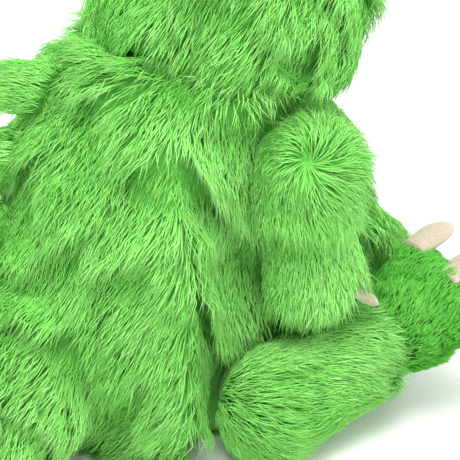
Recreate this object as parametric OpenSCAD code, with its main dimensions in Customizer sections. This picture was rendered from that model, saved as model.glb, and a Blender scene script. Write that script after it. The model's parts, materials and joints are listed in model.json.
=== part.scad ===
// Sitting stuffed dinosaur with disc-jointed neck, shoulders and hips.
// It faces -Y and sits on z = 0, with the axis of its round body on the Z axis.
// Furry pieces are drawn to the outside of the combed pile.

/* [Body] */
// Largest radius of the body, over the pile
body_r = 136; // [128:1:140]
// Height at which the body is widest
body_wide_z = 120; // [110:1:130]
// Height of the flat top that the head sits on
neck_z = 280; // [275:1:285]
// Distance from the body's axis to the flat sides that the limbs lie on
side_flat = 88; // [84:1:92]
// How far the limbs' sides turn in towards the front, in degrees
toe_in = 8; // [4:1:12]
// Radius of the belly that bulges between the legs
belly_r = 89; // [84:1:92]

/* [Head] */
// Radius of the wide lower part of the head
skull_r = 100; // [95:1:102]
// Radius of the crown
crown_r = 88; // [84:1:92]
// Height of the crown's centre
crown_z = 352; // [348:1:358]
// Length from the body's axis to the centre of the muzzle's tip
muzzle_reach = 160; // [150:1:165]

/* [Arms] */
// Height of the shoulder joints
shoulder_z = 215; // [210:1:218]
// How far the shoulder joints lie in front of the hip joints
shoulder_y = 28; // [24:1:30]
// Length from the shoulder joint to the centre of the hand
arm_length = 88; // [80:1:90]
// Forward swing of both arms at rest, in degrees
arm_swing = 6; // [0:1:12]

/* [Legs] */
// Height of the hip joints
hip_z = 44; // [43:1:46]
// Length from the hip joint to the ankle
leg_length = 118; // [110:1:125]
// Outward roll of the feet at rest, in degrees
foot_roll = 30; // [10:1:35]
// How far the legs are raised at rest, in degrees
leg_raise = 10; // [0:1:10]

/* [Tail] */
// How far back the centre of the tail's tip lies
tail_reach = 196; // [185:1:205]
// How far the tail's tip curls round to the right
tail_curl = 112; // [90:1:120]

/* [Hidden] */
$fn = 48;

green = [0.42, 0.82, 0.34];
green_spike = [0.36, 0.76, 0.30];
beige = [0.77, 0.70, 0.61];
white_fill = [0.95, 0.95, 0.93];
plastic = [0.88, 0.88, 0.86];
dark = [0.07, 0.06, 0.05];

pile = 10;              // thickness of a furry panel, backing and pile together
fit = 0.3;              // gap between a panel and the stuffing inside it
body_gap = 0.6;         // gap between two bodies that turn on each other
big = 600;              // reach of a cutting block
body_low = 225;         // half height of the lower half of the body's egg
body_high = 192;        // half height of the upper half of the body's egg
arc_steps = 5;          // steps in an eighth of a rounded profile
seam_y = -26;           // plane of the side seams, between the back and the belly
belly = [0, -94, 84];
flank_y = 54;           // how far behind the hip joint the padded hips begin
flank_bulge = 6;        // how far the padded hips stand out from the body's egg

skull = [0, -46, neck_z + 22];
crown = [0, -52, crown_z];
jaw_split_z = 300;      // height of the seam between the head and the lower jaw
cheek_z = 258;          // lowest point of the cheeks beside the jaw

limb_in = side_flat + body_gap;   // inner face of every limb
arm_in = 28;                      // arm's middle line, from its inner face
leg_in = 36;                      // leg's middle line, from its inner face
shoulder_r = 38;
hand_r = 34;
haunch_r = 44;
ankle_r = 35;
heel_r = 33;
toe_r = 22;
heel_y = leg_length + 14;
heel_z = 35;
toe_fan = 28;                     // angle between two toes, from the heel
toe_length = 60;                  // from the heel's centre to a toe's centre
toe_y = leg_length + 20;
sole_y = leg_length + 39;         // plane of the seam between foot and sole
sole_thick = 4;
ankle_seam = leg_length - 22;

disc_thick = 4;
washer_r = 20;
shoulder_disc_r = 19;
post_r = 5;
neck_post_r = 6;
neck_disc_r = 32;
run_gap = 0.08;                   // radial clearance of a post in its washer
skin_hole_gap = 2;                // radial clearance of a post in a fabric hole

// Outline of the body's egg, shrunk by s: radius against height.
function egg_r(z) = body_r * sqrt(1 - pow((z - body_wide_z)
    / (z < body_wide_z ? body_low : body_high), 2));
function egg_profile(s, top) = concat([[0, s]],
    [for (i = [0 : 16]) let (z = s + (top - s) * i / 16) [egg_r(z) - s, z]], [[0, top]]);
function side_turn(side) = side == "left" ? 1 : 0;

// Outline of two balls and the cone that wraps them, on the Z axis.
function capsule_profile(ra, rb, l) = let (tilt = asin((ra - rb) / l)) concat(
    [for (i = [0 : arc_steps * 2]) let (a = -90 + (90 + tilt) * i / (arc_steps * 2))
        [ra * cos(a), ra * sin(a)]],
    [for (i = [0 : arc_steps * 2]) let (a = tilt + (90 - tilt) * i / (arc_steps * 2))
        [rb * cos(a), l + rb * sin(a)]]);

module capsule(p, q, rp, rq) {
    d = q - p;
    l = norm(d);
    translate(p)
        rotate([0, acos(d.z / l), atan2(d.y, d.x)])
            rotate_extrude()
                polygon([for (v = capsule_profile(rp, rq, l)) [max(v.x, 0), v.y]]);
}

// Puts a limb, drawn with +X outwards and +Y forwards, on its side of the body.
module on_side(side) {
    mirror([side_turn(side), 0, 0])
        rotate([0, 0, 180 + toe_in])
            children();
}

// Everything outside distance d from the body's axis, on one side.
module beyond(d) {
    translate([d, -big / 2, -big / 2]) cube([big, big, big * 2]);
}

// Everything inside a limb's inner face, with the limb shrunk by s.
module inside_face(s) {
    translate([limb_in + s - big, -big / 2, -big / 2]) cube(big);
}

// A cylinder along a limb's joint axis, from distance a to distance b.
module along_axis(a, b, r, y, z) {
    translate([a, y, z]) rotate([0, 90, 0]) cylinder(h = b - a, r = r);
}

// ---------------------------------------------------------------- body

joint_places = [[shoulder_y, shoulder_z], [0, hip_z]];

module egg(s, top) { rotate_extrude() polygon(egg_profile(s, top)); }

module belly_ball(s) {
    difference() {
        translate(belly) sphere(r = belly_r - s);
        translate([-big / 2, -big / 2, s - big]) cube(big);
    }
}

module trim_sides(s) {
    difference() {
        children();
        for (side = ["right", "left"]) on_side(side) beyond(side_flat - s);
    }
}

module back_solid(s) { trim_sides(s) egg(s, neck_z - s); }

module body_solid(s) {
    trim_sides(s) union() {
        egg(s, neck_z - s);
        belly_ball(s);
    }
}

// The padded hip behind a leg, where the body is at its full width again.
module flank(side) {
    color(green) on_side(side) intersection() {
        egg(-flank_bulge, neck_z);
        translate([side_flat + fit, -big - flank_y, 0]) cube(big);
    }
}

module neck_hole(r) { translate([0, 0, neck_z - 40]) cylinder(h = 60, r = r); }

module limb_holes(place) {
    for (side = ["right", "left"])
        on_side(side)
            along_axis(side_flat - 30, side_flat + 20, post_r + skin_hole_gap, place.x, place.y);
}

module back_panel_right() {
    color(green) difference() {
        intersection() {
            back_solid(0);
            translate([-big, seam_y, pile]) cube([big, big, neck_z - 2 * pile]);
        }
        back_solid(pile);
        limb_holes(joint_places[1]);
    }
}

module back_panel_left() { mirror([1, 0, 0]) back_panel_right(); }

module belly_panel() {
    color(green) difference() {
        intersection() {
            body_solid(0);
            translate([-big / 2, seam_y - big, pile]) cube([big, big, neck_z - 2 * pile]);
        }
        body_solid(pile);
        limb_holes(joint_places[0]);
    }
}

module base_panel() {
    color(green) intersection() { body_solid(0); cylinder(h = pile, r = big / 2); }
}

module neck_top_panel() {
    color(green) difference() {
        intersection() {
            back_solid(0);
            translate([0, 0, neck_z - pile]) cylinder(h = pile, r = big / 2);
        }
        neck_hole(neck_post_r + skin_hole_gap);
    }
}

module body_stuffing() {
    color(white_fill) difference() {
        body_solid(pile + fit);
        translate([0, 0, neck_z - pile - 12]) cylinder(h = 20, r = washer_r + 2);
        for (side = ["right", "left"])
            on_side(side)
                for (place = joint_places)
                    along_axis(side_flat - pile - 12, side_flat, washer_r + 1, place.x, place.y);
        translate([0, 0, pile]) cylinder(h = 26, r = 57);
    }
}

module pellet_bag() {
    color(beige) translate([0, 0, pile + fit])
        rotate_extrude() polygon([[0, 0], [50, 0], [56, 6], [56, 18], [50, 24], [0, 24]]);
}

module washer(r, hole) {
    difference() {
        cylinder(h = disc_thick, r = r);
        translate([0, 0, -1]) cylinder(h = disc_thick + 2, r = hole);
    }
}

module neck_washer() {
    color(plastic) translate([0, 0, neck_z - pile - fit - disc_thick])
        washer(washer_r, neck_post_r + run_gap);
}

module limb_washer(side, place) {
    color(plastic) on_side(side)
        translate([side_flat - pile - fit - disc_thick, place.x, place.y])
            rotate([0, 90, 0]) washer(washer_r, post_r + run_gap);
}

// ---------------------------------------------------------------- spikes

// A padded lobe that stands on a surface and sweeps down the spine, along +Y.
module spike(w, h, thick) {
    hull() {
        for (y = [thick / 2 - w / 2, w / 2 - thick / 2])
            translate([0, y, -4]) sphere(r = thick / 2, $fn = 20);
        translate([0, w * 0.22, h - thick * 0.42]) sphere(r = thick * 0.42, $fn = 20);
    }
}

module back_spike(z, lean) {
    color(green_spike) difference() {
        translate([0, egg_r(z), z]) rotate([lean, 0, 0]) spike(47, 34, 34);
        egg(-fit, neck_z);
    }
}

// ---------------------------------------------------------------- tail

tail_root = [-12, 84, 78];
tail_bend = [-40, 172, 62];
tail_end = [-tail_curl, tail_reach, 26];
tail_root_r = 76;
tail_end_r = 22;
tail_steps = 8;

function tail_point(t) = pow(1 - t, 2) * tail_root + 2 * t * (1 - t) * tail_bend + t * t * tail_end;
function tail_r(t) = tail_root_r + (tail_end_r - tail_root_r) * t;
function tail_way(t) = (1 - t) * (tail_bend - tail_root) + t * (tail_end - tail_bend);

module tail_round(s) {
    for (i = [1 : tail_steps])
        hull()
            for (t = [(i - 1) / tail_steps, i / tail_steps])
                translate(tail_point(t)) sphere(r = tail_r(t) - s, $fn = 20);
}

module below(z) { translate([-big / 2, -big / 2, z - big]) cube(big); }

module tail_solid(s, gap) {
    difference() {
        tail_round(s);
        below(s);
        egg(-gap, neck_z);
    }
}

module tail_skin() {
    color(green) difference() {
        tail_solid(0, fit);
        difference() {
            tail_round(pile);
            below(pile);
        }
    }
}

module tail_stuffing() { color(white_fill) tail_solid(pile + fit, fit * 2); }

// A lobe on the tail's ridge, at share t of the way from root to tip.
module tail_spike(t, w, h, thick) {
    way = tail_way(t);
    color(green_spike) difference() {
        translate(tail_point(t) + [0, 0, tail_r(t) - 1])
            rotate([0, 0, atan2(-way.x, way.y)])
                rotate([-18, 0, 0]) spike(w, h, thick);
        tail_round(-fit);
        egg(-fit, neck_z);
    }
}

// ---------------------------------------------------------------- head

module skull_ball(s) {
    intersection() {
        translate(skull) sphere(r = skull_r - s);
        translate([-big / 2, -big / 2, cheek_z + s]) cube(big);
    }
}

module muzzle(s) { capsule([0, -90, crown_z + 3], [0, -muzzle_reach, crown_z - 2], 54 - s, 40 - s); }

module jowl(s) { capsule([0, -92, skull.z - 2], [0, -88, neck_z - 14], 60 - s, 46 - s); }

module head_solid(s) {
    difference() {
        union() {
            skull_ball(s);
            translate(crown) sphere(r = crown_r - s);
            muzzle(s);
            jowl(s);
        }
        egg(-body_gap * 2 - s, neck_z + body_gap + s);
    }
}

module eye_place(side) {
    mirror([side_turn(side), 0, 0])
        translate(crown) rotate([62, 0, -42]) translate([0, 0, crown_r]) children();
}

module eye_shank_hole(r) {
    for (side = ["right", "left"]) eye_place(side) translate([0, 0, -30]) cylinder(h = 44, r = r);
}

module head_shell() {
    difference() {
        head_solid(0);
        head_solid(pile);
        translate([0, 0, neck_z - 1]) cylinder(h = 14, r = neck_post_r + skin_hole_gap);
        eye_shank_hole(3);
    }
}

module head_panel_right() {
    color(green) intersection() {
        head_shell();
        translate([-big, -big / 2, jaw_split_z]) cube(big);
    }
}

module head_panel_left() { mirror([1, 0, 0]) head_panel_right(); }

module jaw_panel() {
    color(green) intersection() {
        head_shell();
        translate([-big / 2, -big / 2, jaw_split_z - big]) cube(big);
    }
}

module head_stuffing() {
    color(white_fill) difference() {
        head_solid(pile + fit);
        translate([0, 0, neck_z]) cylinder(h = pile + disc_thick + 2, r = neck_disc_r + 1);
        for (side = ["right", "left"])
            eye_place(side) translate([0, 0, -32]) cylinder(h = 44, r = 11);
    }
}

module eye(side) {
    color(dark) eye_place(side) {
        intersection() {
            translate([0, 0, -4]) sphere(r = 12);
            translate([-20, -20, fit]) cube(40);
        }
        translate([0, 0, -20]) cylinder(h = 21, r = 2.5);
    }
}

module eye_washer(side) {
    color(plastic) eye_place(side) translate([0, 0, -18]) washer(9, 2.5);
}

module nostril_stitching() {
    color(dark) for (x = [-13, 13])
        difference() {
            translate([x, -muzzle_reach - 37, crown_z + 4]) sphere(r = 6);
            muzzle(-fit);
        }
}

module head_spike(angle) {
    color(green_spike) difference() {
        translate(crown) rotate([-angle, 0, 0]) translate([0, 0, crown_r]) spike(48, 32, 32);
        translate(crown) sphere(r = crown_r + fit);
        translate(skull) sphere(r = skull_r + fit);
    }
}

module neck_disc() {
    color(plastic) {
        translate([0, 0, neck_z + body_gap + pile + fit]) cylinder(h = disc_thick, r = neck_disc_r);
        translate([0, 0, neck_z - pile - 2 * disc_thick - 1])
            cylinder(h = body_gap + 2 * pile + 2 * disc_thick + 2, r = neck_post_r);
    }
}

module neck_lock() {
    color(plastic) translate([0, 0, neck_z - pile - 2 * disc_thick - 2 * fit])
        washer(12, neck_post_r);
}

// ---------------------------------------------------------------- arms

module arm_solid(s) {
    difference() {
        capsule([limb_in + arm_in, 0, 0], [limb_in + arm_in + 4, 0, -arm_length],
            shoulder_r - s, hand_r - s);
        inside_face(s);
    }
}

module at_shoulder(side) {
    on_side(side) translate([0, shoulder_y, shoulder_z]) rotate([arm_swing, 0, 0]) children();
}

module arm_skin(side) {
    color(green) at_shoulder(side) difference() {
        arm_solid(0);
        arm_solid(pile);
        along_axis(limb_in - 5, limb_in + 20, post_r + skin_hole_gap, 0, 0);
    }
}

module arm_stuffing(side) {
    color(white_fill) at_shoulder(side) difference() {
        arm_solid(pile + fit);
        along_axis(limb_in, limb_in + pile + disc_thick + 1, shoulder_disc_r + 1, 0, 0);
    }
}

// One soft claw from point p, pointing forwards and down by angle a.
module claw(p, a, turn, l, r) {
    translate(p) rotate([0, 0, turn]) rotate([a, 0, 0])
        capsule([0, 0, 0], [0, l, 0], r, r * 0.72);
}

module hand_claws(side) {
    color(beige) at_shoulder(side) difference() {
        for (i = [-1 : 1])
            claw([limb_in + arm_in + 4 + 17 * i, 22, -arm_length - 12 + 3 * abs(i)], -34, -10 * i, 20, 8);
        arm_solid(-fit);
        inside_face(0);
    }
}

module limb_disc(at, r) {
    color(plastic) {
        along_axis(at + pile + fit, at + pile + fit + disc_thick, r, 0, 0);
        along_axis(at - body_gap - pile - 2 * disc_thick - 1, at + pile + 1, post_r, 0, 0);
    }
}

module shoulder_disc(side) { at_shoulder(side) limb_disc(limb_in, shoulder_disc_r); }

module limb_lock(side, place) {
    color(plastic) on_side(side)
        translate([side_flat - pile - 2 * disc_thick - 2 * fit, place.x, place.y])
            rotate([0, 90, 0]) washer(11, post_r);
}

// ---------------------------------------------------------------- legs

leg_x = limb_in + leg_in;

module at_hip(side) {
    on_side(side)
        translate([0, 0, hip_z])
            rotate([leg_raise, 0, 0])
                translate([0, 0, -hip_z])
                    children();
}

module leg_solid(s) {
    difference() {
        capsule([leg_x, 0, hip_z], [leg_x, leg_length, hip_z], haunch_r - s, ankle_r - s);
        inside_face(s);
    }
}

// The foot: a heel, three toes and the round of the ankle, wrapped as one pad.
module foot_round(s) {
    hull() {
        translate([leg_x, heel_y, heel_z]) sphere(r = heel_r - s, $fn = 24);
        for (i = [-1 : 1])
            let (a = foot_roll + toe_fan * i)
                translate([leg_x + toe_length * sin(a), toe_y, heel_z + toe_length * cos(a)])
                    sphere(r = toe_r - s, $fn = 24);
        translate([leg_x, ankle_seam + fit, hip_z]) rotate([-90, 0, 0])
            cylinder(h = 1, r = ankle_r - s, $fn = 32);
    }
}

module foot_solid(s) {
    difference() {
        foot_round(s);
        translate([-big / 2, sole_y - s, -big / 2]) cube(big);
    }
}

module leg_skin(side) {
    color(green) at_hip(side) difference() {
        leg_solid(0);
        leg_solid(pile);
        translate([0, ankle_seam, -big / 2]) cube(big);
        along_axis(limb_in - 5, limb_in + 20, post_r + skin_hole_gap, 0, hip_z);
    }
}

module leg_stuffing(side) {
    color(white_fill) at_hip(side) difference() {
        leg_solid(pile + fit);
        translate([0, ankle_seam, -big / 2]) cube(big);
        along_axis(limb_in, limb_in + pile + disc_thick + 1, washer_r + 1, 0, hip_z);
    }
}

module foot_skin(side) {
    color(green) at_hip(side) difference() {
        foot_solid(0);
        foot_solid(pile);
    }
}

module foot_stuffing(side) {
    color(white_fill) at_hip(side) foot_solid(pile + fit);
}

module sole(side) {
    color(green_spike) at_hip(side) intersection() {
        foot_round(fit);
        translate([0, sole_y, -big / 2]) cube([big, sole_thick, big]);
    }
}

module foot_claws(side) {
    color(beige) at_hip(side) difference() {
        for (i = [-1 : 1])
            let (a = foot_roll + toe_fan * i, r = toe_length + 10)
                claw([leg_x + r * sin(a), toe_y + 6, heel_z + r * cos(a)], 10, -8 * i, 34, 10.5);
        foot_round(-fit);
    }
}

module hip_disc(side) {
    on_side(side) translate([0, 0, hip_z]) limb_disc(limb_in, washer_r);
}

// ---------------------------------------------------------------- assembly

back_panel_right();
back_panel_left();
belly_panel();
base_panel();
neck_top_panel();
body_stuffing();
pellet_bag();
neck_washer();
limb_washer("right", joint_places[0]);  // shoulder_washer_right
limb_washer("left", joint_places[0]);  // shoulder_washer_left
limb_washer("right", joint_places[1]);  // hip_washer_right
limb_washer("left", joint_places[1]);  // hip_washer_left
flank("right");  // flank_right
flank("left");  // flank_left
back_spike(260, -54);  // back_spike_1
back_spike(213, -70);  // back_spike_2
back_spike(165, -82);  // back_spike_3
tail_skin();
tail_stuffing();
tail_spike(0.42, 44, 30, 28);  // tail_spike_1
tail_spike(0.8, 38, 26, 24);  // tail_spike_2
head_panel_right();
head_panel_left();
jaw_panel();
head_stuffing();
eye("right");  // eye_right
eye("left");  // eye_left
eye_washer("right");  // eye_washer_right
eye_washer("left");  // eye_washer_left
nostril_stitching();
head_spike(6);  // head_spike_1
head_spike(46);  // head_spike_2
neck_disc();
neck_lock();
arm_skin("right");  // arm_skin_right
arm_skin("left");  // arm_skin_left
arm_stuffing("right");  // arm_stuffing_right
arm_stuffing("left");  // arm_stuffing_left
hand_claws("right");  // hand_claws_right
hand_claws("left");  // hand_claws_left
shoulder_disc("right");  // shoulder_disc_right
shoulder_disc("left");  // shoulder_disc_left
limb_lock("right", joint_places[0]);  // shoulder_lock_right
limb_lock("left", joint_places[0]);  // shoulder_lock_left
leg_skin("right");  // leg_skin_right
leg_skin("left");  // leg_skin_left
leg_stuffing("right");  // leg_stuffing_right
leg_stuffing("left");  // leg_stuffing_left
foot_skin("right");  // foot_skin_right
foot_skin("left");  // foot_skin_left
foot_stuffing("right");  // foot_stuffing_right
foot_stuffing("left");  // foot_stuffing_left
sole("right");  // sole_right
sole("left");  // sole_left
foot_claws("right");  // foot_claws_right
foot_claws("left");  // foot_claws_left
hip_disc("right");  // hip_disc_right
hip_disc("left");  // hip_disc_left
limb_lock("right", joint_places[1]);  // hip_lock_right
limb_lock("left", joint_places[1]);  // hip_lock_left
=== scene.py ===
"""A sitting long-pile plush dinosaur: padded skins, combed fur, suede claws and glossy eyes."""

import json
import math

import bpy
import numpy as np
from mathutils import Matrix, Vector, kdtree


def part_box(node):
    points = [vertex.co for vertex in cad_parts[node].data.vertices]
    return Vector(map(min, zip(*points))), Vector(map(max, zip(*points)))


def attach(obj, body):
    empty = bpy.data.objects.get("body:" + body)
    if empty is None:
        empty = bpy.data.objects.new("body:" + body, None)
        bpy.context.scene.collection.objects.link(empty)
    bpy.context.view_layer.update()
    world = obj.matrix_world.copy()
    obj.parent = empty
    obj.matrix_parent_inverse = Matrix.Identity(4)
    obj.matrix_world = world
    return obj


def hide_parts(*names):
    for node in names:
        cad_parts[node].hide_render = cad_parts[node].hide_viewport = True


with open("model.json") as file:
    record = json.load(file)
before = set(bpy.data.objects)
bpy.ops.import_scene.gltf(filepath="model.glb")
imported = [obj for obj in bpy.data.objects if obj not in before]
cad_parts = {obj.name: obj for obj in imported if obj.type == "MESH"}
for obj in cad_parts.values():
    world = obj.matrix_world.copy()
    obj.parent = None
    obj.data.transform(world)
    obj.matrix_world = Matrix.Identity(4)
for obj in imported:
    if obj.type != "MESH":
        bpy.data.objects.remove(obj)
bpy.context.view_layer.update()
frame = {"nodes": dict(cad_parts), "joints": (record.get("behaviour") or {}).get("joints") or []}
nodes = frame["nodes"]
joints = {joint["name"]: joint for joint in frame["joints"]}

SIDES = ("right", "left")
UP = np.array([0.0, 0.0, 1.0])

PILE_DEPTH = 0.008        # how far the backing cloth lies under the combed pile's outside
SKIN_VOXEL = 0.005
FLOOR_CLEARANCE = 0.0006  # pile that would pass through the floor is pressed flat to here
ROW_PERIOD = 0.066        # length of one overlapping row of pile, along its lie
ROW_WIDTH = 0.058         # width of one scallop of such a row
TUFT_SIZE = 22            # strands gathered into one tuft
STRAND_SUNK = 0.0012      # how far a strand's root lies inside the skin
JOINT_BAND = 0.012        # half the thickness of the layer taken as facing a limb
FLAT_BAND = 0.02          # the same for pile, which starts further out
RELAX_FACTOR = 0.5

BODY_STRANDS = 66000      # before keep() leaves strands out, for each region of the body
HEAD_STRANDS = 29000
LIMB_STRANDS = 15000
FOOT_STRANDS = 13000
SPIKE_STRANDS = 3000

PLUMP_FRAMES = 20
PLUMP_LIMIT = 0.0025      # the most that the filling may move a corner of a skin
PLUMP_PRESSURE = 4
CLOTH_STIFFNESS = 12

MOUTH_STEPS = 40
MOUTH_SWEEP = 62          # half the angle that the mouth takes up, in degrees
MOUTH_RADIUS = 0.0019     # of the stitching
MOUTH_CURL = 0.016        # how far the mouth's corners rise
MOUTH_OUT = 0.005         # how far it stands off the skin, among the short pile

CLAW_RINGS, CLAW_AROUND = 22, 28
CLAW_ROOT = 0.008         # length of a claw that is hidden in the pile
CLAW_DROOP = 0.10         # as a share of the claw's length
SLIVER_CORNERS = 30       # a part of the CAD claws with fewer corners is not a claw

FLOOR_HALF_SIZE = 6.0

skins = {}

# ------------------------------------------------------------------ limbs' frames

def outward(side):
    """The direction away from the body along a limb's joint axis."""
    axis = np.array(joints["hip_" + side]["axis"], float)
    return axis if side == "right" else -axis


def forward(side):
    """The direction in which a leg points, flat on the floor."""
    out = outward(side)
    turn = 1 if side == "right" else -1
    return np.array([-turn * out[1], turn * out[0], 0.0])


def limb_plane(side):
    """How far out the plane lies in which one side's limbs turn on the body."""
    return float(np.dot(np.array(joints["hip_" + side]["pos_m"]), outward(side)))


# ------------------------------------------------------------------ materials

def principled(name, color, roughness, sheen=0.0):
    material = bpy.data.materials.new(name)
    material.use_nodes = True
    shader = material.node_tree.nodes["Principled BSDF"]
    shader.inputs["Base Color"].default_value = (*color, 1)
    shader.inputs["Roughness"].default_value = roughness
    shader.inputs["Sheen Weight"].default_value = sheen
    material.diffuse_color = (*color, 1)
    return material


def noise_color(material, low, high, scale, detail=6.0):
    """Paints the base colour between two colours with a noise in object space."""
    tree = material.node_tree
    shader = tree.nodes["Principled BSDF"]
    place = tree.nodes.new("ShaderNodeTexCoord")
    noise = tree.nodes.new("ShaderNodeTexNoise")
    ramp = tree.nodes.new("ShaderNodeValToRGB")
    noise.inputs["Scale"].default_value = scale
    noise.inputs["Detail"].default_value = detail
    ramp.color_ramp.elements[0].position = 0.35
    ramp.color_ramp.elements[1].position = 0.65
    ramp.color_ramp.elements[0].color = (*low, 1)
    ramp.color_ramp.elements[1].color = (*high, 1)
    tree.links.new(place.outputs["Object"], noise.inputs["Vector"])
    tree.links.new(noise.outputs["Fac"], ramp.inputs["Fac"])
    tree.links.new(ramp.outputs["Color"], shader.inputs["Base Color"])
    return noise


def bump(material, noise, strength, distance):
    tree = material.node_tree
    node = tree.nodes.new("ShaderNodeBump")
    node.inputs["Strength"].default_value = strength
    node.inputs["Distance"].default_value = distance
    tree.links.new(noise.outputs["Fac"], node.inputs["Height"])
    tree.links.new(node.outputs["Normal"], tree.nodes["Principled BSDF"].inputs["Normal"])


def cloth_material(name, low, high, scale, depth, sheen=0.3):
    material = principled(name, high, 0.9, sheen)
    bump(material, noise_color(material, low, high, scale), 0.6, depth)
    return material


BACKING = cloth_material("green_backing", (0.09, 0.45, 0.05), (0.15, 0.56, 0.07), 260.0, 0.001)
SOLE_PLUSH = cloth_material("sole_short_pile", (0.10, 0.44, 0.07), (0.20, 0.60, 0.13), 420.0, 0.0006)
SUEDE = cloth_material("claw_suede_cloth", (0.46, 0.38, 0.27), (0.56, 0.47, 0.35), 520.0, 0.0003, 0.5)
THREAD = principled("dark_stitching", (0.02, 0.025, 0.015), 0.85)
EYE_BLACK = principled("eye_black_gloss", (0.008, 0.007, 0.006), 0.06)
EYE_BLACK.node_tree.nodes["Principled BSDF"].inputs["Coat Weight"].default_value = 1.0
MOULDED = principled("joint_plastic_white", (0.80, 0.80, 0.78), 0.4)
POLYESTER = cloth_material("white_filling", (0.82, 0.82, 0.80), (0.92, 0.92, 0.90), 90.0, 0.002)

# The pile's shades: one green painted darker and lighter, with painted shade on the shaded roots and painted
# sunlight on the sunlit tips.
PILE_SHADES = [
    principled("pile_painted_deep_shade", (0.085, 0.47, 0.045), 0.9),
    principled("pile_painted_shade", (0.155, 0.61, 0.08), 0.85),
    principled("pile_middle", (0.225, 0.71, 0.12), 0.8),
    principled("pile_painted_light", (0.29, 0.78, 0.165), 0.8),
    principled("pile_painted_sunlight", (0.36, 0.83, 0.22), 0.75),
]
for shade in PILE_SHADES:
    shade.node_tree.nodes["Principled BSDF"].inputs["Specular IOR Level"].default_value = 0.08
DEEP_SHADE, SHADED, LIT, SUNLIT = 0, 1, 3, 4    # places in that list


# ------------------------------------------------------------------ meshes

def mesh_arrays(mesh):
    """The corners, the triangles and the corners' normals of a mesh."""
    corners = np.empty(len(mesh.vertices) * 3, np.float32)
    mesh.vertices.foreach_get("co", corners)
    mesh.calc_loop_triangles()
    triangles = np.empty(len(mesh.loop_triangles) * 3, np.int32)
    mesh.loop_triangles.foreach_get("vertices", triangles)
    normals = np.empty(len(mesh.vertices) * 3, np.float32)
    mesh.vertex_normals.foreach_get("vector", normals)
    return corners.reshape(-1, 3).astype(float), triangles.reshape(-1, 3), normals.reshape(-1, 3).astype(float)


def mesh_object(name, corners, faces, materials, shade_of_face=None):
    """A smooth object from arrays; faces is an array with one row to a face."""
    mesh = bpy.data.meshes.new(name)
    mesh.vertices.add(len(corners))
    mesh.vertices.foreach_set("co", np.asarray(corners, np.float32).ravel())
    sides = faces.shape[1]
    mesh.loops.add(faces.size)
    mesh.loops.foreach_set("vertex_index", faces.astype(np.int32).ravel())
    mesh.polygons.add(len(faces))
    mesh.polygons.foreach_set("loop_start", np.arange(0, faces.size, sides, dtype=np.int32))
    mesh.polygons.foreach_set("use_smooth", np.ones(len(faces), bool))
    for material in materials:
        mesh.materials.append(material)
    if shade_of_face is not None:
        mesh.polygons.foreach_set("material_index", shade_of_face.astype(np.int32))
    mesh.update(calc_edges=True)
    obj = bpy.data.objects.new(name, mesh)
    bpy.context.scene.collection.objects.link(obj)
    return obj


def islands(corners, triangles):
    """A number for each corner that says which connected part of the mesh it is in."""
    _, weld = np.unique(np.round(corners, 6), axis=0, return_inverse=True)
    weld = weld.ravel()
    joined = weld[triangles]
    label = np.arange(weld.max() + 1)
    while True:
        lowest = label[joined].min(axis=1)
        fresh = label.copy()
        for column in range(3):
            np.minimum.at(fresh, joined[:, column], lowest)
        fresh = fresh[fresh]
        if (fresh == label).all():
            return label[weld]
        label = fresh


def evaluated_copy(obj):
    """The mesh of obj with its modifiers applied."""
    bpy.context.view_layer.update()
    depsgraph = bpy.context.evaluated_depsgraph_get()
    return bpy.data.meshes.new_from_object(obj.evaluated_get(depsgraph))


def apply_modifiers(obj):
    mesh = evaluated_copy(obj)
    obj.modifiers.clear()
    obj.data = mesh


def keep_largest_island(obj):
    corners, triangles, _ = mesh_arrays(obj.data)
    label = islands(corners, triangles)
    spans = {k: np.ptp(corners[label == k], axis=0).prod() for k in np.unique(label)}
    keep = max(spans, key=spans.get)
    kept = label == keep
    renumber = np.cumsum(kept) - 1
    faces = renumber[triangles[kept[triangles].all(axis=1)]]
    material = obj.data.materials[0]
    fresh = mesh_object(obj.name + "_outer", corners[kept], faces, [material])
    name = obj.name
    bpy.data.objects.remove(obj)
    fresh.name = name
    return fresh


def near_limb_plane(corners, side):
    """True for corners close to the plane in which one side's limbs turn on the body."""
    return np.abs(corners @ outward(side) - limb_plane(side)) < JOINT_BAND


def shrink(obj, depth):
    """Moves each corner inwards along its normal; faces that meet at a limb's joint stay in their plane."""
    corners, _, normals = mesh_arrays(obj.data)
    for side in SIDES:
        near, out = near_limb_plane(corners, side), outward(side)
        normals[near] -= (normals[near] @ out)[:, None] * out
    obj.data.vertices.foreach_set("co", (corners - normals * depth).astype(np.float32).ravel())
    obj.data.update()


def rest_on_floor(obj):
    corners, _, _ = mesh_arrays(obj.data)
    corners[:, 2] = np.maximum(corners[:, 2], FLOOR_CLEARANCE)
    obj.data.vertices.foreach_set("co", corners.astype(np.float32).ravel())
    obj.data.update()


def ease(obj, where, passes):
    """Relaxes a skin further, only where a test of its corners says."""
    corners, _, _ = mesh_arrays(obj.data)
    group = obj.vertex_groups.new(name="eased")
    group.add([int(i) for i in np.nonzero(where(corners))[0]], 1.0, "REPLACE")
    relax = obj.modifiers.new("Ease", "SMOOTH")
    relax.factor = RELAX_FACTOR
    relax.iterations = passes
    relax.vertex_group = group.name
    apply_modifiers(obj)


def beside_flank(corners):
    """The hollow between a padded hip and the limbs."""
    hit = np.zeros(len(corners), bool)
    for side in SIDES:
        along = corners @ forward(side)
        hit |= (corners @ outward(side) > 0.06) & (along > -0.10) & (along < -0.012) & (corners[:, 2] > 0.012)
    return hit


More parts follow.
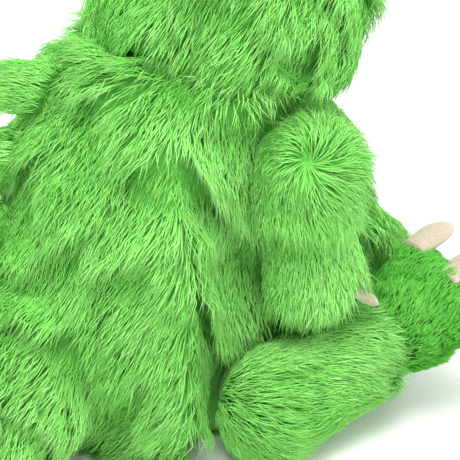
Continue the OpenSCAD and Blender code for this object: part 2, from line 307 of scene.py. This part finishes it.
def skin(name, body, replaced, material=BACKING, depth=PILE_DEPTH, voxel=SKIN_VOXEL, passes=8):
    """One padded skin wrapped round CAD nodes, which it stands for, just under the pile's outside."""
    corners, faces, offset = [], [], 0
    for node in replaced:
        part_corners, part_triangles, _ = mesh_arrays(nodes[node].data)
        corners.append(part_corners)
        faces.append(part_triangles + offset)
        offset += len(part_corners)
    obj = mesh_object(name, np.concatenate(corners), np.concatenate(faces), [material])
    remesh = obj.modifiers.new("Voxel", "REMESH")
    remesh.mode = "VOXEL"
    remesh.voxel_size = voxel
    remesh.use_smooth_shade = True
    apply_modifiers(obj)
    obj = keep_largest_island(obj)
    relax = obj.modifiers.new("Relax", "SMOOTH")
    relax.factor = RELAX_FACTOR
    relax.iterations = passes
    apply_modifiers(obj)
    shrink(obj, depth)
    rest_on_floor(obj)
    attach(obj, body)
    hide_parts(*replaced)
    skins[name] = obj
    return obj


def plump(names):
    """Fills padded skins in a cloth simulation under pressure, and caps how far each corner moves."""
    scene = bpy.context.scene
    scene.frame_set(1)
    for name in names:
        obj = skins[name]
        cloth = obj.modifiers.new("Filling", "CLOTH")
        cloth.settings.quality = 3
        cloth.settings.tension_stiffness = CLOTH_STIFFNESS
        cloth.settings.compression_stiffness = CLOTH_STIFFNESS
        cloth.settings.bending_stiffness = 0.3
        cloth.settings.use_pressure = True
        cloth.settings.uniform_pressure_force = PLUMP_PRESSURE
        cloth.settings.effector_weights.gravity = 0
        cloth.point_cache.frame_start, cloth.point_cache.frame_end = 1, PLUMP_FRAMES
    for step in range(1, PLUMP_FRAMES + 1):
        scene.frame_set(step)
    for name in names:
        obj = skins[name]
        before, _, _ = mesh_arrays(obj.data)
        after, _, _ = mesh_arrays(evaluated_copy(obj))
        obj.modifiers.clear()
        move = after - before
        size = np.linalg.norm(move, axis=1, keepdims=True)
        move = move * np.minimum(1, PLUMP_LIMIT / np.maximum(size, 1e-9))
        move[facing_limb(before)] = 0
        obj.data.vertices.foreach_set("co", (before + move).astype(np.float32).ravel())
        obj.data.update()
        rest_on_floor(obj)
    scene.frame_set(1)


def facing_limb(corners):
    """True for corners close to either plane in which limbs turn on the body."""
    return near_limb_plane(corners, "right") | near_limb_plane(corners, "left")


# ------------------------------------------------------------------ pile

def unit(v):
    return v / np.maximum(np.linalg.norm(v, axis=-1, keepdims=True), 1e-9)


def scatter(mesh, count, rng):
    """Random places on a mesh, spread evenly, with their normals."""
    corners, triangles, normals = mesh_arrays(mesh)
    a, b, c = (corners[triangles[:, k]] for k in range(3))
    area = np.linalg.norm(np.cross(b - a, c - a), axis=1)
    pick = rng.choice(len(triangles), count, p=area / area.sum())
    u, v = rng.random((2, count, 1))
    fold = u + v > 1
    u, v = np.where(fold, 1 - u, u), np.where(fold, 1 - v, v)
    chosen = triangles[pick]
    weights = (1 - u - v, u, v)
    place = sum(w * corners[chosen[:, k]] for k, w in enumerate(weights))
    normal = unit(sum(w * normals[chosen[:, k]] for k, w in enumerate(weights)))
    return place, normal


def ripple(place, scale, seed):
    """A smooth pseudo-random value between -1 and 1 at each place."""
    turn = np.random.default_rng(seed).normal(size=(4, 3)) / scale
    phase = np.random.default_rng(seed + 1).random(4) * 2 * math.pi
    return np.sin(place @ turn.T * 2 + phase).mean(axis=1) * 1.4


def nearest_tuft(place, tufts):
    tree = kdtree.KDTree(len(tufts))
    for i, centre in enumerate(place[tufts]):
        tree.insert(Vector(centre), i)
    tree.balance()
    return np.array([tree.find(Vector(p))[1] for p in place])


def row_phase(place, flow_hint, across_hint, seed):
    """Where each place lies in its overlapping row: 0 at the row's start and 1 at its loose end."""
    along = place @ flow_hint / ROW_PERIOD + 0.22 * ripple(place, 0.07, seed)
    across = place @ across_hint / ROW_WIDTH + 0.3 * ripple(place, 0.09, seed + 5)
    row = np.floor(along)
    scallop = np.abs((across + 0.5 * (row % 2)) % 1 - 0.5) * 2
    return (along + 0.45 * scallop ** 2) % 1


def raised_rows(reach, length):
    """The share of a row's relief that is left where the pile has been trimmed."""
    return np.clip(reach / (0.7 * length), 0, 1) ** 2


def pile(skin_object, name, body, count, flow, seed, length=0.024, width=0.001, lift=(0.1, 0.5),
         keep=None, painted_shade_steps=0, trim=None, relief=0.006):
    """Combed pile on a skin, as closed tapered strands gathered into tufts and overlapping rows.

    flow(place, normal) gives the lie of the pile; keep leaves out places, and trim gives the shares
    by which the pile's length and lift change at each place."""
    rng = np.random.default_rng(seed)
    place, normal = scatter(skin_object.data, count, rng)
    if keep is not None:
        stays = keep(place, normal)
        place, normal = place[stays], normal[stays]
    total = len(place)
    lie = flow(place, normal)
    lie = unit(lie - (lie * normal).sum(1, keepdims=True) * normal)
    hint = unit(lie.mean(axis=0))
    across = unit(np.cross(hint, normal.mean(axis=0) + 1e-6 + UP * 0.3))
    phase = row_phase(place, hint, across, seed)
    sideways = np.cross(normal, lie)
    lie = unit(lie + sideways * (0.22 * ripple(place, 0.035, seed + 9) + rng.normal(0, 0.15, total))[:, None])

    low, high = lift
    rise = low + (high - low) * phase ** 1.6 + rng.normal(0, 0.03, total)
    rise = np.clip(rise, 0.05, 0.9)[:, None]
    reach = length * (0.66 + 0.5 * phase + rng.normal(0, 0.12, total)).clip(0.45, 1.4)
    if trim is not None:
        short, raised = trim(place, normal)
        reach = reach * short
        rise = rise * raised[:, None]
    reach = reach[:, None]

    place = place + normal * (relief * (phase[:, None] - 0.35) * raised_rows(reach, length))
    base = place - normal * STRAND_SUNK
    middle = place + reach * 0.5 * unit(lie + normal * (rise + 0.35))
    tip = place + reach * unit(lie + normal * rise + rng.normal(0, 0.13, (total, 3)))
    tuft_of = nearest_tuft(place, rng.choice(total, max(total // TUFT_SIZE, 8), replace=False))
    tuft_count = tuft_of.max() + 1
    members = np.maximum(np.bincount(tuft_of, minlength=tuft_count), 1)[:, None]
    centre = np.stack([np.bincount(tuft_of, tip[:, k], tuft_count) for k in range(3)], 1) / members
    gather = rng.uniform(0.1, 0.5, total)[:, None]
    tip = tip + (centre[tuft_of] - tip) * gather
    middle = middle + (centre[tuft_of] - tip) * gather * 0.12
    for points in (base, middle, tip):
        points[:, 2] = np.maximum(points[:, 2], FLOOR_CLEARANCE + 0.0006)

    grow = unit(tip - base)
    side = unit(np.cross(grow, normal))
    back = np.cross(side, grow)
    thick = width * rng.uniform(0.75, 1.25, total)[:, None]
    rings = []
    for points, share in ((base, 0.5), (middle, 0.42)):
        for k in range(3):
            turn = 2 * math.pi * k / 3
            rings.append(points + thick * share * (math.cos(turn) * side + 0.8 * math.sin(turn) * back))
    corners = np.stack(rings + [tip], axis=1).reshape(-1, 3)
    corners[:, 2] = np.maximum(corners[:, 2], FLOOR_CLEARANCE)

    # One strand: the root's cap, two triangles on each of three sides, and the tip's three.
    pattern = [(2, 1, 0)]
    for k in range(3):
        after = (k + 1) % 3
        pattern += [(k, after, 3 + after), (k, 3 + after, 3 + k)]
    pattern += [(3 + k, 3 + (k + 1) % 3, 6) for k in range(3)]
    pattern = np.array(pattern)
    faces = (np.arange(total)[:, None, None] * 7 + pattern[None]).reshape(-1, 3)

    # Painted shade: strands at the start of a row, under the loose ends of the row before, get darker shades. Each
    # strand's root half is drawn darker than its tip half, as painted shade at the roots and painted light on the
    # tips. The ripple and random terms are the pile's own tone, which differs at random.
    tone_and_shade = np.minimum(phase * 5.0, 1.6 + phase * 0.5) - 1.0 + rng.normal(0, 0.25, total)
    tone_and_shade = tone_and_shade + 0.3 * ripple(place, 0.05, seed + 3)
    tone_and_shade = tone_and_shade + np.random.default_rng(seed + 4).normal(0, 0.2, tuft_count)[tuft_of]
    # darker moves every strand down by that many shades, as painted shade.
    top = np.clip(np.round(2.7 + tone_and_shade * 0.75 - painted_shade_steps), SHADED, SUNLIT)
    root = np.clip(np.round(1.9 + tone_and_shade * 0.85 - painted_shade_steps), DEEP_SHADE, LIT)
    below_middle = np.arange(len(pattern))[None] < 7
    shade = np.where(below_middle, root[:, None], top[:, None]).ravel()
    obj = mesh_object(name, corners, faces, PILE_SHADES, shade)
    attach(obj, body)
    return obj


# ------------------------------------------------------------------ how the pile lies

def everywhere(vector, place):
    """The same vector for each place."""
    return np.tile(vector, (len(place), 1))


def body_flow(place, normal):
    """Down the sides and back towards the tail, straight down on the belly, and along the tail."""
    backwards = np.clip((place[:, 1] + 0.11) / 0.16, 0, 1)[:, None]
    on_tail = np.clip((np.hypot(place[:, 0], place[:, 1]) - 0.125) / 0.05, 0, 1) * (place[:, 2] < 0.17)
    return (-UP * 0.85 + np.array([0.0, 0.62, 0.0]) * backwards) * (1 - on_tail)[:, None] \
        + tail_flow(place, normal) * on_tail[:, None]


def head_flow(place, normal):
    """From the muzzle's tip back over the crown, then down the cheeks and the nape."""
    back = np.clip((place[:, 1] + 0.20) / 0.12, 0, 1)[:, None]
    return np.array([0.0, 0.7, -0.15]) + np.array([0.0, 0.0, -0.7]) * back


def arm_flow(side):
    """Down the arm, from a whorl high on the shoulder's back."""
    joint = np.array(joints["shoulder_" + side]["pos_m"], float)
    whorl = joint + outward(side) * 0.058 - forward(side) * 0.014 + UP * 0.017

    def lie(place, normal):
        away = place - whorl
        near = np.clip(1.25 - np.linalg.norm(away, axis=1) / 0.034, 0, 1)[:, None]
        swirl = np.cross(normal, unit(away)) * 0.7
        return -UP * (1 - near) * 1.2 + (unit(away) + swirl) * near
    return lie


def leg_flow(side):
    def lie(place, normal):
        return everywhere(forward(side) + outward(side) * 0.6 - UP * 0.2, place)
    return lie


def foot_flow(side):
    def lie(place, normal):
        return everywhere(forward(side) * 0.8 + outward(side) * 0.25 + UP * 0.65, place)
    return lie


def tail_flow(place, normal):
    """Back along the tail and round its curl."""
    share = np.clip((place[:, 1] - 0.08) / 0.12, 0, 1)[:, None]
    return np.array([0.0, 1.0, -0.6]) * (1 - share) + np.array([-1.0, 0.35, -0.25]) * share


# ------------------------------------------------------------------ pieces

def on_flat(place, normal):
    """True where the body's side faces a limb."""
    hit = np.zeros(len(place), bool)
    for side in SIDES:
        out, ahead = outward(side), forward(side)
        facing = (normal @ out > 0.8) & (np.abs(place @ out - limb_plane(side)) < FLAT_BAND)
        hit |= facing & (place @ ahead > -0.054)
    return hit


def under_limb(place):
    """True where a limb covers the body's side at rest."""
    hit = np.zeros(len(place), bool)
    for side in SIDES:
        ahead = forward(side)
        shoulder = np.array(joints["shoulder_" + side]["pos_m"])
        hip = np.array(joints["hip_" + side]["pos_m"])
        along = place @ ahead
        high = place[:, 2]
        is_side = (place @ outward(side)) > 0.05
        arm = (np.abs(along - shoulder @ ahead) < 0.016) & (high > 0.10) & (high < shoulder[2] + 0.026)
        leg = (along > hip @ ahead - 0.036) & (high < 0.075)
        hit |= is_side & (arm | leg)
    return hit


def body_keep(place, normal):
    return ~(on_flat(place, normal) & under_limb(place)) & (place[:, 2] > 0.004)


def body_trim(place, normal):
    """The pile stands up in the hollow behind an arm and a leg, and lies flat beside them."""
    flat = on_flat(place, normal)
    behind = np.zeros(len(place), bool)
    for side in SIDES:
        along = place @ forward(side)
        behind |= (place @ outward(side) > 0.05) & (along < 0.012) & (place[:, 2] > 0.06)
    tail_end = np.clip((place[:, 1] - 0.13) / 0.06, 0, 1)
    short = np.where(flat & ~behind, 0.35, 1.0) * (1 - 0.6 * tail_end)
    raised = np.where(flat & behind, 1.6, np.where(flat, 0.3, 1.0)) * (1 - 0.5 * tail_end)
    return short, raised


def limb_keep(side):
    face = limb_plane(side)

    def keep(place, normal):
        return (place @ outward(side) > face + PILE_DEPTH + 0.006) & (place[:, 2] > 0.003)
    return keep


def limb_trim(side):
    face = limb_plane(side)

    def trim(place, normal):
        share = np.clip((place @ outward(side) - face) / 0.03, 0.35, 1.0)
        return share, share
    return trim


SPIKES = ([(f"back_spike_{i}", "torso") for i in (1, 2, 3)] + [(f"tail_spike_{i}", "torso") for i in (1, 2)]
          + [(f"head_spike_{i}", "head") for i in (1, 2)])


def build_skins():
    panels = ["back_panel_right", "back_panel_left", "belly_panel", "base_panel", "neck_top_panel",
              "body_stuffing", "flank_right", "flank_left", "tail_skin", "tail_stuffing"]
    body = skin("body_skin", "torso", panels, passes=30, depth=PILE_DEPTH - 0.003)
    ease(body, beside_flank, 90)
    skin("head_skin", "head", ["head_panel_right", "head_panel_left", "jaw_panel", "head_stuffing"], passes=12)
    for side in SIDES:
        leg = "leg_" + side
        skin("arm_padded_" + side, "arm_" + side, ["arm_skin_" + side, "arm_stuffing_" + side], voxel=0.004)
        skin("leg_padded_" + side, leg, ["leg_skin_" + side, "leg_stuffing_" + side], voxel=0.004)
        skin("foot_padded_" + side, leg, ["foot_skin_" + side, "foot_stuffing_" + side], voxel=0.004)
        skin("sole_padded_" + side, leg, ["sole_" + side], SOLE_PLUSH, depth=-0.001, voxel=0.0025,
             passes=4)
    for node, owner in SPIKES:
        skin(node + "_padded", owner, [node], depth=0.005, voxel=0.0035, passes=6)


def cover_body():
    for part, region in enumerate(("right", "left", "belly", "tail")):
        def keep(place, normal, region=region):
            front = place[:, 1] < -0.045
            tail = (np.hypot(place[:, 0], place[:, 1]) > 0.15) & (place[:, 2] < 0.16) & ~front
            where = {"right": ~front & ~tail & (place[:, 0] < 0), "left": ~front & ~tail & (place[:, 0] >= 0),
                     "belly": front, "tail": tail}
            return body_keep(place, normal) & where[region]
        pile(skins["body_skin"], "body_pile_" + region, "torso", BODY_STRANDS, body_flow, 20 + part, keep=keep,
             trim=body_trim, length=0.030, lift=(0.06, 0.60), relief=0.011)


def middle_of(node):
    low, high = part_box(node)
    return np.array((low + high) / 2)


def cover_head():
    eyes = [middle_of("eye_" + side) for side in SIDES]
    nose = middle_of("nostril_stitching")

    def trim(place, normal):
        """Short on the muzzle and round the eyes."""
        share = np.clip(np.linalg.norm(place - nose, axis=1) / 0.11, 0.28, 1.0)
        for eye in eyes:
            share = np.minimum(share, np.clip(np.linalg.norm(place - eye, axis=1) / 0.045, 0.3, 1.0))
        return share, share

    for part, region in enumerate(("right", "left")):
        def keep(place, normal, region=region):
            clear = (place[:, 0] < 0) if region == "right" else (place[:, 0] >= 0)
            for eye in eyes:
                clear &= np.linalg.norm(place - eye, axis=1) > 0.017
            return clear & (place[:, 2] > 0.225)
        pile(skins["head_skin"], "head_pile_" + region, "head", HEAD_STRANDS, head_flow, 40 + part, keep=keep,
             trim=trim, length=0.030)


def cover_limbs(side):
    leg, index = "leg_" + side, SIDES.index(side)

    def foot_keep(place, normal):
        return limb_keep(side)(place, normal) & (normal @ forward(side) < 0.75)

    pile(skins["arm_padded_" + side], "arm_pile_" + side, "arm_" + side, LIMB_STRANDS, arm_flow(side), 60 + index,
         keep=limb_keep(side), trim=limb_trim(side), length=0.026, lift=(0.12, 0.5))
    pile(skins["leg_padded_" + side], "leg_pile_" + side, leg, LIMB_STRANDS, leg_flow(side), 70 + index,
         keep=limb_keep(side), trim=limb_trim(side), length=0.026, relief=0.001, lift=(0.12, 0.36))
    # The feet's pile is drawn 2.2 shades darker, as painted shade for feet that lie in shadow beside the body.
    pile(skins["foot_padded_" + side], "foot_pile_" + side, leg, FOOT_STRANDS, foot_flow(side), 80 + index,
         keep=foot_keep, trim=limb_trim(side), length=0.014, painted_shade_steps=2.2, lift=(0.22, 0.42),
         relief=0.001)


def cover_spikes():
    centres = {"torso": np.array([0.0, -0.02, 0.14]), "head": np.array([0.0, -0.05, 0.33])}
    for index, (node, body) in enumerate(SPIKES):
        away = unit(middle_of(node) - centres[body])

        def lie(place, normal, away=away):
            return everywhere(away * 0.9 - UP * 0.35, place)
        pile(skins[node + "_padded"], node + "_pile", body, SPIKE_STRANDS, lie, 100 + index, length=0.018,
             lift=(0.25, 0.55))


def tube_faces(rings, around):
    """The triangles of a tube's wall, between rings that have the same number of corners."""
    faces = []
    for i in range(rings - 1):
        for k in range(around):
            a, b = i * around + k, i * around + (k + 1) % around
            faces += [(a, b, b + around), (a, b + around, a + around)]
    return faces


def stitched_mouth():
    """A line of dark stitching where the muzzle meets the jaw, found by looking out from inside the head."""
    head = skins["head_skin"]
    start = Vector((0.0, -0.105, 0.316))
    path = []
    for i in range(MOUTH_STEPS):
        turn = math.radians(MOUTH_SWEEP) * (2 * i / (MOUTH_STEPS - 1) - 1)
        origin = start + Vector((0, 0, MOUTH_CURL * (turn / math.radians(MOUTH_SWEEP)) ** 2))
        way = Vector((math.sin(turn), -math.cos(turn), 0.0))
        found, hit, normal, _ = head.ray_cast(origin, way)
        if found:
            path.append(np.array(hit + normal * MOUTH_OUT))
    path = np.array(path)
    around = 8
    ahead = unit(np.gradient(path, axis=0))
    side = unit(np.cross(ahead, UP))
    rise = np.cross(side, ahead)
    turns = [2 * math.pi * k / around for k in range(around)]
    rings = [path + MOUTH_RADIUS * (math.cos(t) * side + math.sin(t) * rise) for t in turns]
    corners = np.stack(rings, 1).reshape(-1, 3)
    faces = tube_faces(len(path), around)
    last = (len(path) - 1) * around
    for k in range(1, around - 1):
        faces += [(0, k + 1, k), (last, last + k, last + k + 1)]
    mouth = mesh_object("mouth_stitching", corners, np.array(faces), [THREAD])
    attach(mouth, "head")


def tongue(name, body, island, away_from):
    """A flattened suede claw with a raised seam round its edge, lying where the CAD claw lies.

    island is the CAD claw's corners, and the claw points away from away_from."""
    middle = island.mean(axis=0)
    spread = island - middle
    _, vectors = np.linalg.eigh(spread.T @ spread)
    ahead = vectors[:, 2]
    if ahead @ (middle - away_from) < 0:
        ahead = -ahead
    reach = island @ ahead
    length = (reach.max() - reach.min()) + CLAW_ROOT
    base = middle + ahead * (reach.min() - middle @ ahead - CLAW_ROOT)
    wide = unit(np.cross(ahead, UP))
    high = np.cross(wide, ahead)
    half_width = np.abs(spread @ wide).max() * 1.12
    half_height = np.abs(spread @ high).max() * 0.62
    rings, around = CLAW_RINGS, CLAW_AROUND
    corners = []
    for i in range(rings):
        t = i / (rings - 1)
        taper = math.sqrt(max(1 - max((t - 0.45) / 0.55, 0) ** 2.4, 0.0004)) * (0.86 + 0.14 * math.sin(math.pi * t))
        droop = -CLAW_DROOP * length * t * t
        for k in range(around):
            turn = 2 * math.pi * k / around
            seam = 1 + 0.07 * max(0.0, abs(math.cos(turn)) - 0.93) / 0.07
            pucker = 1 + 0.015 * math.sin(9 * turn + 14 * t)
            corners.append(base + ahead * (length * t) + high * droop
                           + wide * (half_width * taper * math.cos(turn) * seam)
                           + high * (half_height * taper * math.sin(turn) * pucker))
    corners.append(base)
    corners.append(base + ahead * length * 1.002 - high * CLAW_DROOP * length)
    faces = tube_faces(rings, around)
    first, last = rings * around, rings * around + 1
    for k in range(around):
        after = (k + 1) % around
        faces.append((first, after, k))
        faces.append((last, (rings - 1) * around + k, (rings - 1) * around + after))
    obj = mesh_object(name, np.array(corners), np.array(faces), [SUEDE])
    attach(obj, body)
    return obj


def build_claws(node, body, name, away_from):
    """Replaces the three CAD claws of one node."""
    corners, triangles, _ = mesh_arrays(nodes[node].data)
    label = islands(corners, triangles)
    parts = sorted((corners[label == k] for k in np.unique(label)), key=lambda part: part.mean(axis=0)[0])
    pieces = [tongue(f"{name}_{i + 1}", body, part, away_from)
              for i, part in enumerate(parts) if len(part) > SLIVER_CORNERS]
    for piece in pieces:
        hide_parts(node)


def paint(node, material):
    """Gives a CAD piece that stays visible its material."""
    nodes[node].data.materials.clear()
    nodes[node].data.materials.append(material)
    for polygon in nodes[node].data.polygons:
        polygon.use_smooth = material is EYE_BLACK


def paint_inner_pieces():
    for name in nodes:
        if name in ("eye_right", "eye_left"):
            paint(name, EYE_BLACK)
        elif name == "nostril_stitching":
            paint(name, THREAD)
        elif any(word in name for word in ("washer", "disc", "lock")):
            paint(name, MOULDED)
        elif name == "pellet_bag":
            paint(name, POLYESTER)


# ------------------------------------------------------------------ studio

def build_studio():
    """Plain pale floor, soft lights and the camera, behind and to the right of the toy."""
    floor_material = principled("studio_floor", (0.93, 0.93, 0.93), 0.9)
    half = FLOOR_HALF_SIZE
    corners = np.array([[-half, -half, 0], [half, -half, 0], [half, half, 0], [-half, half, 0]], float)
    floor = mesh_object("studio_floor", corners, np.array([[0, 1, 2, 3]]), [floor_material])

    world = bpy.data.worlds.new("studio_world")
    bpy.context.scene.world = world
    world.use_nodes = True
    world.node_tree.nodes["Background"].inputs["Color"].default_value = (1.0, 1.0, 1.0, 1)
    world.node_tree.nodes["Background"].inputs["Strength"].default_value = 1.0

    target = Vector((0.0, -0.046, 0.123))
    azimuth, elevation, distance = math.radians(63), math.radians(24.5), 1.0
    back = Vector((-math.sin(azimuth) * math.cos(elevation), math.cos(azimuth) * math.cos(elevation),
                   math.sin(elevation)))
    camera = bpy.data.objects.new("camera", bpy.data.cameras.new("camera"))
    camera.location = target + back * distance
    camera.rotation_mode = "QUATERNION"
    camera.rotation_quaternion = back.to_track_quat("Z", "Y")
    camera.data.lens = 100.1
    camera.data.sensor_width = 36.0
    camera.data.clip_start, camera.data.clip_end = 0.02, 50.0
    bpy.context.scene.collection.objects.link(camera)
    bpy.context.scene.camera = camera

    for name, place, size, power in (("key", (-0.7, 0.3, 1.7), 0.8, 23.0), ("front", (-0.6, -1.6, 1.0), 1.4, 9.0),
                                     ("rear", (0.9, 1.3, 1.2), 1.2, 10.0)):
        light = bpy.data.objects.new(name, bpy.data.lights.new(name, "AREA"))
        light.data.size = size
        light.data.energy = power
        light.location = place
        aim = Vector(place) - Vector((0.0, 0.0, 0.2))
        light.rotation_mode = "QUATERNION"
        light.rotation_quaternion = aim.to_track_quat("Z", "Y")
        bpy.context.scene.collection.objects.link(light)
    bpy.context.scene.view_settings.view_transform = "Standard"


build_skins()
plump(sorted(name for name in skins if name != "body_skin"))
cover_body()
cover_head()
cover_spikes()
stitched_mouth()
for side in SIDES:
    cover_limbs(side)
    hand = np.array(joints["shoulder_" + side]["pos_m"])
    build_claws("hand_claws_" + side, "arm_" + side, "hand_claw_" + side, hand)
    hip = np.array(joints["hip_" + side]["pos_m"])
    build_claws("foot_claws_" + side, "leg_" + side, "foot_claw_" + side, hip)
paint_inner_pieces()
build_studio()
